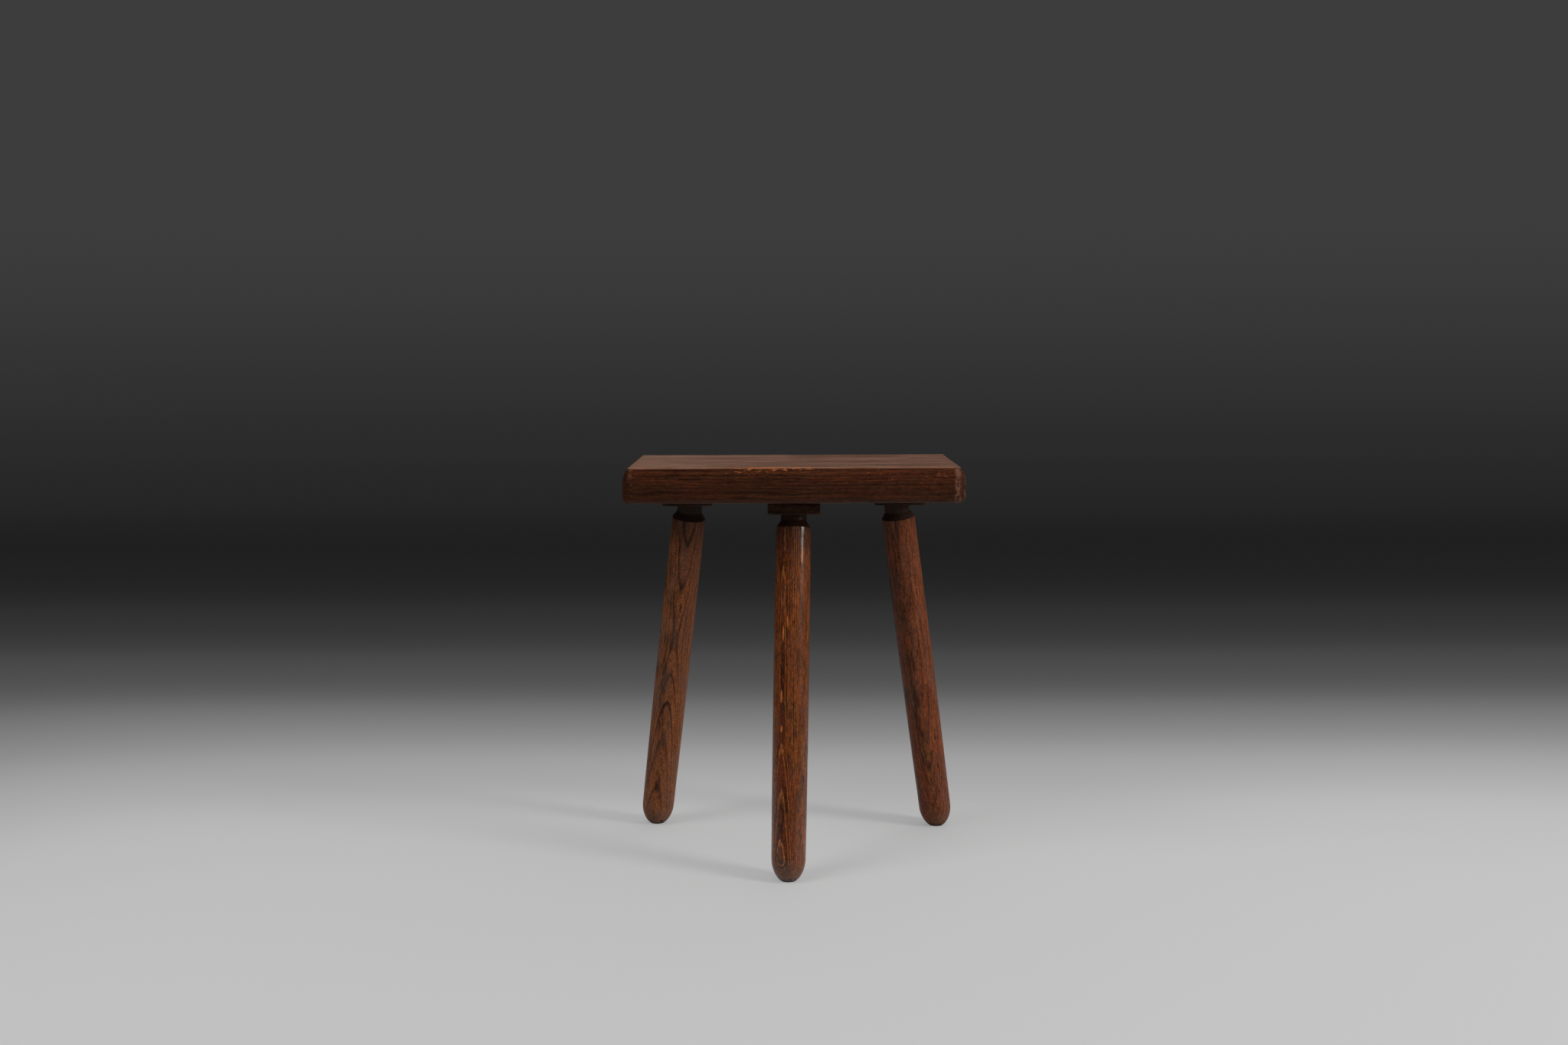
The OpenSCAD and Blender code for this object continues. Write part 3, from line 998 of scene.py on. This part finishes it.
@dataclass
class LegBlock:
    """A square block under the seat, round the neck of a leg."""

    node: str
    corner: float = 0.0024
    bevel: float = 0.0012
    arris: float = 0.0004
    unevenness: float = 0.00012
    worn_width: float = 0.0016
    cell: float = 0.001

    def build(self, pits: list[Pit], seed: float) -> bpy.types.Object:
        """Makes the block with the hole for the neck and the screws' countersinks.

        Args:
            pits: The holes in the block's underside.
            seed: Makes its unevenness its own.

        Returns:
            The block, without its finish.
        """
        low, high = np.array(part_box(self.node))
        bottom = low[2] - high[2]
        section = spaced(rounded_line([
            (0.0, 0.0, 0.0), (self.corner, 0.0, self.arris), (self.corner, self.bevel + bottom, self.arris),
            (self.corner - self.bevel, bottom, self.arris), (0.0, bottom, 0.0),
        ], 3), 0.0015)
        middle, half = (low + high) / 2, (high[0] - low[0]) / 2
        full = 0.028

        def sides(out: np.ndarray) -> tuple[np.ndarray, np.ndarray]:
            """The same section all round."""
            flat = np.ones(len(out))
            return section[:, :1] * flat, section[:, 1:] * flat

        def shape(points: np.ndarray) -> np.ndarray:
            """Draws the sides in by a saw's and a plane's unevenness."""
            moved = points.copy()
            way = points[..., :2] - middle[:2]
            dip = self.unevenness * waves(points, 0.03, seed)
            inward = dip * smooth((np.abs(way).max(-1) / half - 0.9) * 10)
            moved[..., :2] -= way / full * inward[..., None]
            return moved

        def values(points: np.ndarray) -> dict[str, np.ndarray]:
            """Nearness to the lower and the upright edges."""
            reach = np.array([high[0] - points[..., 0], points[..., 0] - low[0]]).min(0)
            depth = np.array([high[1] - points[..., 1], points[..., 1] - low[1]]).min(0)
            near = np.sort(np.stack([reach, depth, points[..., 2] - low[2]], -1), axis=-1)
            return {"edge": np.exp(-near[..., 1] / self.worn_width)}

        slab = Slab(low, high, self.corner, sides, self.cell, pits, 6)
        return slab.draft(shape, values).build(self.node + "_dressed")

    def dress(self, finish: OakFinish, coat: Coat) -> None:
        """Wears the block's edges, by its finish."""
        coat.lay(finish.bare, coat.worn(finish.wear)["Worn"] * 0.7)


@dataclass(frozen=True)
class Turning:
    """Sizes of a turned leg, along its axis from the block's underside."""

    top_d: float = 0.0376
    foot_d: float = 0.037
    swell: float = 0.0012
    neck_d: float = 0.028
    neck_gap: float = 0.0093
    neck_round: float = 0.0006
    shoulder: float = 0.007
    shoulder_round: float = 0.0007
    tenon: float = 0.022
    tenon_bevel: float = 0.0015
    foot_round: float = 0.0225
    foot_flat_d: float = 0.0206

    @property
    def foot_reach(self) -> float:
        """Half length of the foot's ellipse, so that the level cut has its width."""
        return self.foot_round / math.sqrt(1 - (self.foot_flat_d / self.foot_d) ** 2)


@dataclass
class TurnedLeg:
    """One splayed leg, from its tenon in the seat to its level foot."""

    side: str
    inset: float
    log: Log
    finish: OakFinish
    turning: Turning = Turning()
    unevenness: float = 0.00012
    tool_marks: float = 0.00004
    columns: int = 96

    def __post_init__(self) -> None:
        """Finds the leg's axis from its block and its foot pad.

        The slope is the sideways run for each metre down. A level cut through the
        leaning foot has its middle a little inside the axis, by an amount that hangs on
        the slope itself, so the slope is found in a few rounds.
        """
        low, high = np.array(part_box(f"{self.side}_block"))
        pad_low, pad_high = np.array(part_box(f"{self.side}_pad"))
        t = self.turning
        self.block_thickness = high[2] - low[2]
        self.start = np.array([(low[0] + high[0]) / 2 + self.inset, (low[1] + high[1]) / 2, low[2]])
        self.floor = pad_high[2]
        self.foot_middle = self.floor + t.foot_round
        stretch = t.foot_reach ** 2 - (t.foot_d / 2) ** 2
        fall = self.start[2] - self.foot_middle
        away = ((pad_low + pad_high) / 2 - self.start)[:2]
        self.slope = away / (fall + t.foot_round)
        for _ in range(6):
            run = math.hypot(1, *self.slope)
            extra = t.foot_round * stretch / ((run * t.foot_d / 2) ** 2 + stretch)
            self.slope = away / (fall + extra)
        self.lean = (-self.slope[0], -self.slope[1])
        self.run = math.hypot(1, *self.slope)
        self.up = np.array([*self.lean, 1]) / self.run
        across = np.cross([0.0, 1.0, 0.0], self.up)
        self.across = across / np.linalg.norm(across)
        self.ahead = np.cross(self.up, self.across)

    def surface(self, radius: np.ndarray, along: np.ndarray, angle: np.ndarray) -> np.ndarray:
        """Points at a radius and an angle round the axis, and a length along it."""
        ring = np.cos(angle)[..., None] * self.across + np.sin(angle)[..., None] * self.ahead
        return self.start + radius[..., None] * ring + along[..., None] * self.up

    def build(self, seed: float) -> bpy.types.Object:
        """Turns the leg.

        A profile of tenon, neck, sloped shoulder and slightly swelled body is carried
        round the axis. The foot is half an ellipse, which each column follows down to
        the level cut: there the long half-axis times the sine of the angle, less the
        short one times the column's own rise times the cosine, is the cut's depth.

        Args:
            seed: Makes the turning marks its own.

        Returns:
            The leg, without its finish.
        """
        t = self.turning
        top = self.block_thickness * self.run + t.tenon
        shoulder = t.neck_gap + t.shoulder
        foot = (self.start[2] - self.foot_middle) * self.run
        neck, bevel = t.neck_d / 2, t.tenon_bevel
        upper = rounded_line([
            (0.0, top, 0.0), (neck - bevel, top, 0.0), (neck, top - bevel, 0.0),
            (neck, -t.neck_gap, t.neck_round), (t.top_d / 2, -shoulder, t.shoulder_round),
            (t.top_d / 2 + 0.0001, -shoulder - 0.006, 0.0),
        ])[:-1]
        share = np.linspace(0.0, 1.0, 121)[1:]
        radius = (t.top_d + (t.foot_d - t.top_d) * share + t.swell * 4 * share * (1 - share)) / 2
        body = np.stack([radius, -shoulder - (foot - shoulder) * share], 1)
        profile = np.concatenate([spaced(upper, 0.003), body])
        angle = np.linspace(0, 2 * math.pi, self.columns + 1)[None]
        wide, along = (column + 0 * angle for column in (profile[:, :1], profile[:, 1:]))
        rings = self.surface(wide, along, angle + 0 * wide)
        rise = (np.cos(angle) * self.across[2] + np.sin(angle) * self.ahead[2])[0]
        depth = self.start[2] - self.floor - foot * self.up[2]
        long_part, short_part = t.foot_reach * self.up[2], t.foot_d / 2 * rise
        last = np.arctan2(short_part, long_part) + np.arcsin(depth / np.hypot(long_part, short_part))
        turn = np.linspace(0, 1, 25)[1:, None] * last[None]
        wide, along = t.foot_d / 2 * np.cos(turn), -foot - t.foot_reach * np.sin(turn)
        round_foot = self.surface(wide, along, angle + 0 * turn)
        rim = round_foot[-1]
        shrink = np.linspace(1, 0, 6)[1:, None, None]
        middle = rim[:-1].mean(axis=0)
        level = middle + (rim[None] - middle) * shrink
        grid = np.concatenate([rings, round_foot, level])
        grid[:, -1] = grid[:, 0]
        out = grid - (self.start + ((grid - self.start) @ self.up)[..., None] * self.up)
        marks = self.unevenness * waves(grid, 0.05, seed)
        marks = marks + self.tool_marks * waves(grid * [0.2, 0.2, 1], 0.004, seed)
        length = np.linalg.norm(out, axis=-1, keepdims=True)
        body_only = smooth(length[..., 0] / 0.012 - 0.4)
        body_only[-6:] = 0
        grid = grid - out / np.maximum(length, 1e-9) * (marks * body_only)[..., None]
        return MeshDraft().add(grid).build(f"{self.side}_leg_turned")

    def grain(self) -> Grain:
        """How the leg lies in its log, with the grain along its axis."""
        return Grain(tuple(self.start), self.log, tuple(self.up), tuple(self.across))

    def dress(self, finish: OakFinish, coat: Coat) -> None:
        """Colours the neck and shoulder black-brown and paints the leg's shadows and the foot's grey.

        The dark colour ends in a sharp line at the shoulder's lower edge. Below it a painted
        shadow of the seat darkens the leg's top, the foot is greyed by dust and a painted
        reflection of the floor, and a painted contact shadow blackens its lowest edge.

        Args:
            finish: The leg's finish.
            coat: What it changes.
        """
        g, along, level = coat.graph, coat.wood.split()[2], coat.place.split()[2]
        patches = g.noise(coat.wood, (0.010, 0.010, 0.045), 4.0)
        coat.lay(LEG_BLOOM, g.ease(patches, 0.42, 0.62, 0.0, finish.bloom))
        wobble = g.noise(coat.wood, (0.004, 0.004, 0.004)) * 0.0008 + along
        edge = -(self.turning.neck_gap + self.turning.shoulder) + 0.0002
        dark_neck = g.ease(wobble, edge - 0.0004, edge + 0.0004)
        # Painted shadow of the seat: darkest just below the shoulder, fading out 50 mm further down.
        coat.lay(SEAT_SHADOW_ON_LEG, g.ease(along, edge - 0.050, edge - 0.004, 0.0, finish.shade))
        # Near-black brown over the neck and shoulder, ending in a sharp line at the shoulder's lower edge.
        coat.lay(g.mix(0.9, coat.colour, NECK_DARK_BROWN), dark_neck)
        coat.shine = g.ease(dark_neck, 0.0, 1.0, finish.gloss, 0.14)
        ragged_level = g.noise(coat.wood, (0.003, 0.003, 0.004), 3.0) * 0.02 + level
        # Greyer over about the foot's lowest 25 mm: dust, with a painted reflection of the bright floor.
        dust_and_reflection = g.ease(ragged_level, 0.012, 0.034, 1.0, 0.0)
        coat.lay(FOOT_DUST_AND_REFLECTION, dust_and_reflection * 0.35)
        # Painted contact shadow: the foot's lowest few millimetres, just above the pad, go near-black.
        coat.lay(FOOT_CONTACT_SHADOW, g.ease(ragged_level, 0.0122, 0.0145, 0.9, 0.0))
        coat.rough = coat.rough + dust_and_reflection * 0.25 + dark_neck * 0.25


@dataclass
class FootPad:
    """A thin disc under a foot."""

    node: str
    arris: float = 0.0004

    def build(self) -> bpy.types.Object:
        """Makes the disc, without its finish."""
        low, high = np.array(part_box(self.node))
        radius = (high[0] - low[0]) / 2
        line = rounded_line([
            (0.0, high[2], 0.0), (radius, high[2], self.arris), (radius, low[2], self.arris),
            (0.0, low[2], 0.0),
        ], 4)
        return disc(self.node + "_dressed", (low + high)[:2] / 2, spaced(line, 0.0012), 64)


@dataclass
class Fixings:
    """Where the legs and screws enter the blocks and the seat."""

    legs: list[TurnedLeg]
    screw_inset: float = 0.008
    screw_d: float = 0.004
    head_d: float = 0.008
    screw_length: float = 0.036
    gap: float = 0.0001
    end_gap: float = 0.001
    skin: float = 0.0002

    def corners(self, leg: TurnedLeg) -> list[tuple[float, float]]:
        """The middles of the four screws round one leg."""
        low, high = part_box(f"{leg.side}_block")
        xs = (low[0] + self.screw_inset, high[0] - self.screw_inset)
        ys = (low[1] + self.screw_inset, high[1] - self.screw_inset)
        return [(x, y) for x in xs for y in ys]

    def block_pits(self, leg: TurnedLeg) -> list[Pit]:
        """The neck's hole and four countersunk holes in the block of a leg."""
        neck = leg.turning.neck_d / 2 + self.gap
        head, shank = self.head_d / 2 + self.gap, self.screw_d / 2 + self.gap
        through = leg.block_thickness - self.skin
        rim = round(neck / LegBlock.cell)
        bore = ((0, 0.0, through), (rim - 1, neck, through), (rim, neck, 0.0))
        sunk = ((0, 0.0, through), (2, shank, through), (3, shank, head - shank), (4, head, 0.0))
        pits = [Pit(tuple(leg.start[:2]), rim, bore, leg.lean)]
        return pits + [Pit(spot, 4, sunk, ease=2) for spot in self.corners(leg)]

    def seat_pits(self) -> list[Pit]:
        """The three sockets and the twelve screw holes in the seat's underside."""
        pits = []
        shank = self.screw_d / 2 + self.gap
        for leg in self.legs:
            neck, rise = leg.turning.neck_d / 2 + self.gap, leg.block_thickness
            deep = (leg.turning.tenon + self.end_gap + neck * math.hypot(*leg.slope)) / leg.run
            spot = (leg.start[0] - leg.slope[0] * rise, leg.start[1] - leg.slope[1] * rise)
            pits.append(Pit(spot, 7, ((0, 0.0, deep), (6, neck, deep), (7, neck, 0.0)), leg.lean))
            hole = self.screw_length + self.end_gap - rise
            bore = ((0, 0.0, hole), (1, shank, hole), (2, shank, 0.0))
            pits += [Pit(corner, 2, bore, ease=2) for corner in self.corners(leg)]
        return pits


@dataclass(frozen=True)
class Softbox:
    """A rectangular lamp that looks at a point."""

    name: str
    place: Point
    aim: Point
    width: float
    height: float
    power: float

    def build(self) -> None:
        """Hangs the lamp."""
        lamp = bpy.data.lights.new(self.name, "AREA")
        lamp.shape = "RECTANGLE"
        lamp.size, lamp.size_y, lamp.energy = self.width, self.height, self.power
        holder = bpy.data.objects.new(self.name, lamp)
        holder.location = self.place
        way = Vector(self.aim) - Vector(self.place)
        holder.rotation_euler = way.to_track_quat("-Z", "Y").to_euler()
        bpy.context.scene.collection.objects.link(holder)


@dataclass(frozen=True)
class Studio:
    """A pale floor that fades into a grey backdrop, soft lamps and the camera.

    The greys are (metres behind the stool, grey as seen), and the floor fades alike
    beside and before the pool, which has its middle's X, half width and front. Beyond
    the fade the greys are shown to the camera as they are. Nearer, the glow is the share
    of them that shows so, and the rest is the paper's own colour, which takes the
    shadows. The paper gain makes up for the light that the floor lacks.
    """

    focal_pixels: float = 2200.0
    image_width: float = 2048.0
    sensor: float = 36.0
    eye: Point = (-0.01055, -1.8516, 0.5745)
    pitch: float = 6.267
    roll: float = 0.206
    floor_radius: float = 12.0
    greys: tuple[tuple[float, int], ...] = (
        (-0.30, 192), (0.04, 190), (0.24, 181), (0.49, 149), (0.81, 99), (1.22, 66), (1.79, 43),
        (2.61, 32), (3.90, 37), (6.30, 42), (12.0, 46),
    )
    pool: Point = (0.15, 1.0, 0.9)
    fade: tuple[float, float] = (0.20, 0.80)
    glow: float = 0.5
    paper_gain: float = 1.04
    lamps: tuple[Softbox, ...] = (
        Softbox("right softbox", (2.50, -1.25, 1.66), (0.0, -0.05, 0.25), 0.66, 2.1, 59.0),
        Softbox("left softbox", (-1.56, -1.08, 2.27), (0.0, -0.05, 0.25), 1.1, 1.3, 27.0),
    )

    def build(self) -> None:
        """Makes the floor, the backdrop, the lamps and the camera."""
        self.floor()
        self.backdrop()
        for lamp in self.lamps:
            lamp.build()
        data = bpy.data.cameras.new("photo view")
        data.sensor_fit, data.sensor_width = "HORIZONTAL", self.sensor
        data.lens = self.focal_pixels / self.image_width * self.sensor
        data.clip_start, data.clip_end = 0.05, 60.0
        camera = bpy.data.objects.new("photo view", data)
        tilt = Euler((math.radians(90 - self.pitch), 0, 0)).to_matrix()
        twist = Matrix.Rotation(math.radians(-self.roll), 3, "Z")
        camera.matrix_world = Matrix.Translation(self.eye) @ (tilt @ twist).to_4x4()
        bpy.context.scene.collection.objects.link(camera)
        bpy.context.scene.camera = camera
        bpy.context.scene.view_settings.view_transform = "Standard"

    def floor(self) -> None:
        """A round floor, pale round the stool and dark further off, clear from below."""
        radius = np.concatenate([[0.0], np.geomspace(0.1, self.floor_radius, 24)])
        piece = disc("floor", (0.0, 0.0), np.stack([radius, 0 * radius], 1), 72)
        material = bpy.data.materials.new("floor paper")
        g = Graph.of(material)
        x, y, _ = g.node("ShaderNodeTexCoord", {})["Object"].split()
        middle, half, front = self.pool
        beside = g.math("ABSOLUTE", x - middle) - half
        before = y * -1.0 - front
        depth = g.math("SMOOTH_MAX", g.math("SMOOTH_MAX", y, beside, 1.0), before, 1.0)
        nearest, span = self.greys[0][0], self.greys[-1][0] - self.greys[0][0]
        ramp = g.node("ShaderNodeValToRGB", {"Fac": (depth - nearest) / span})
        ramp.node.color_ramp.interpolation = "CARDINAL"
        elements = ramp.node.color_ramp.elements
        for distance, _ in self.greys[1:-1]:
            elements.new((distance - nearest) / span)
        for element, (_, grey) in zip(elements, self.greys):
            element.color = (*linear(grey, grey, grey), 1.0)
        paper = g.node("ShaderNodeBsdfDiffuse", {"Color": g.scaled(ramp["Color"], (self.paper_gain,) * 3)})
        shown = g.node("ShaderNodeEmission", {"Color": ramp["Color"], "Strength": 1.0})
        far = g.ease(depth, *self.fade, self.glow, 1.0) * g.looked_at()
        top = g.node("ShaderNodeMixShader", {0: far, 1: paper[0], 2: shown[0]})
        clear = g.node("ShaderNodeBsdfTransparent", {})
        behind = g.node("ShaderNodeNewGeometry", {})["Backfacing"]
        both = g.node("ShaderNodeMixShader", {0: behind, 1: top[0], 2: clear[0]})
        g.node("ShaderNodeOutputMaterial", {"Surface": both[0]})
        piece.data.materials.append(material)

    def backdrop(self) -> None:
        """A world that shows as dark grey and lights the stool, more from the right and from behind."""
        world = bpy.data.worlds.new("studio")
        g = Graph.of(world)
        x, y, height = g.node("ShaderNodeTexCoord", {})["Generated"].split()
        shown = g.mix(g.ease(height, -0.09, 0.08), (42, 42, 42), (61, 61, 61))
        sky = g.ease(height, 0.0, 1.0, 0.36, 0.42) * g.ease(x, -1.0, 1.0, 0.4, 1.6)
        sky = sky * g.ease(y, 0.0, 0.9, 1.0, 1.6)
        light = g.node("ShaderNodeBackground", {"Color": g.mix(g.looked_at(), sky, shown), "Strength": 1.0})
        g.node("ShaderNodeOutputWorld", {"Surface": light[0]})
        bpy.context.scene.world = world


class Stain(Enum):
    """The stool's stains, with colours as displayed."""

    SEAT = OakFinish(
        "seat oak", dark=(32, 14, 6), light=(77, 40, 19), red=(76, 31, 13), pore=(22, 11, 5),
        bare=(168, 98, 56), line=(24, 12, 6), line_strength=0.42, band_strength=0.06, gloss=0.08,
        prick=0.36, streaky=0.16, stretch=1.4, wear=0.62,
        knots=((0.059, -0.067, 0.0022, 0.009), (0.064, 0.140, 0.0020, 0.010)),
    )
    BLOCK = OakFinish(
        "block oak", dark=(30, 19, 12), light=(54, 36, 24), red=(48, 28, 17), pore=(14, 9, 6),
        bare=(96, 68, 48), line=(16, 9, 5), line_strength=0.3, band_strength=0.05, gloss=0.04,
        wear=0.45, roughness=0.50,
    )
    FRONT_LEG = OakFinish(
        "front leg oak", dark=(52, 22, 5), light=(108, 53, 17), red=(98, 39, 13), pore=(34, 13, 4),
        bare=(190, 108, 48), line=(202, 122, 58), line_strength=0.85, band_strength=0.0, gloss=0.4,
        pore_density=0.02, streaky=0.09, prick=0.6, stretch=0.55, shade=0.45, roughness=0.16,
        relief=0.4, bloom=0.1, knots=((0.0141, -0.2837, 0.0014, 0.005),),
        flames=(
            (-0.0103, -0.197, 0.0011, 0.0075), (-0.0098, -0.231, 0.0011, 0.0045),
            (-0.0093, -0.130, 0.0010, 0.009), (-0.0052, -0.118, 0.0008, 0.007),
            (0.0095, -0.047, 0.0010, 0.012),
        ),
    )
    LEFT_LEG = OakFinish(
        "left leg oak", dark=(54, 27, 11), light=(112, 64, 31), red=(134, 76, 44), pore=(32, 15, 7),
        bare=(150, 92, 46), line=(26, 12, 6), line_strength=1.0, band_strength=0.15, gloss=0.12,
        lit_side_flush=1.0, streaky=0.11, prick=0.42, stretch=0.7, shade=0.42, roughness=0.38, bloom=0.35,
        knots=(
            (-0.0041, -0.340, 0.0014, 0.007), (-0.0015, -0.333, 0.0010, 0.010),
            (0.0024, -0.119, 0.0015, 0.007),
        ),
    )
    RIGHT_LEG = OakFinish(
        "right leg oak", dark=(58, 31, 15), light=(108, 61, 31), red=(130, 60, 31), pore=(32, 15, 7),
        bare=(150, 86, 44), line=(32, 15, 7), line_strength=0.4, band_strength=0.1, gloss=0.12,
        lit_side_flush=0.6, prick=0.5, stretch=0.8, shade=0.1, roughness=0.38, bloom=0.25,
        knots=(
            (0.0074, -0.227, 0.0010, 0.004), (0.0093, -0.279, 0.0011, 0.004),
            (0.0088, -0.314, 0.0012, 0.004), (0.0063, -0.346, 0.0015, 0.004),
        ),
    )


class Plain(Enum):
    """The finishes of the small parts, with colours as displayed."""

    RUBBER = PlainFinish("pad rubber", (13, 10, 8), (24, 20, 17), (0.004,) * 3, 0.8, 0.0, 0.4)
    STEEL = PlainFinish("screw steel", (150, 146, 138), (92, 74, 60), (0.002,) * 3, 0.45, 1.0, 0.3)
    WEDGE = PlainFinish("wedge wood", (186, 150, 108), (160, 120, 82), (0.001, 0.001, 0.01), 0.7, 0.0, 0.4)


def main() -> None:
    """Builds the stool's pieces in order, dresses them and sets up the studio."""
    logging.basicConfig(level=logging.INFO, format="%(name)s %(message)s")
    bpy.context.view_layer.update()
    Studio().build()
    legs = [
        TurnedLeg("front", 0.0, Log(
            pith=(0.025, 0.0435), run=(0.0, -0.016), bow=0.016, middle=-0.24, spacing=0.0007,
            wander=0.0005, width=0.30,
        ), Stain.FRONT_LEG.value),
        TurnedLeg("left", 0.002, Log(
            pith=(0.0001, 0.0571), run=(-0.071, -0.012), bow=0.044, middle=-0.165, spacing=0.0022,
            wander=0.0005, width=0.3,
        ), Stain.LEFT_LEG.value),
        TurnedLeg("right", -0.002, Log(
            pith=(0.008, 0.05), run=(0.0, 0.022), bow=-0.022, middle=-0.2, spacing=0.0018, wander=0.0016,
        ), Stain.RIGHT_LEG.value),
    ]
    fixings = Fixings(legs)
    seat = SeatBoard()
    low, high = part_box("seat")
    middle = ((low[0] + high[0]) / 2, (low[1] + high[1]) / 2, high[2])
    board = Grain(middle, Log((0.03, -0.10), run=(0.02, 0.03), spacing=0.0024, wander=0.0026))
    piece = seat.build(fixings.seat_pits())
    settle(piece, Stain.SEAT.value.build(board, seat.dress), "seat_oak", "seat")
    for count, leg in enumerate(legs):
        block = LegBlock(f"{leg.side}_block")
        sawn = Grain(tuple(leg.start), Log((0.01, -0.05), wander=0.002))
        piece = block.build(fixings.block_pits(leg), 1.3 + count)
        settle(piece, Stain.BLOCK.value.build(sawn, block.dress), "block_oak", block.node)
        piece = leg.build(0.4 + 1.9 * count)
        settle(piece, leg.finish.build(leg.grain(), leg.dress), "leg_oak", f"{leg.side}_leg")
    rubber, steel, wedge = (finish.value.build() for finish in Plain)
    for leg in legs:
        pad = FootPad(f"{leg.side}_pad")
        settle(pad.build(), rubber, "pad_rubber", pad.node)
    packed = {"block_screws": steel, "front_wedge": wedge, "left_wedge": wedge, "right_wedge": wedge}
    for name, finish in packed.items():
        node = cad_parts[name]
        node.data.materials.clear()
        node.data.materials.append(finish)
        LOG.info("%s: packed shape, %s", name, finish.name)


if __name__ == "__main__":
    main()
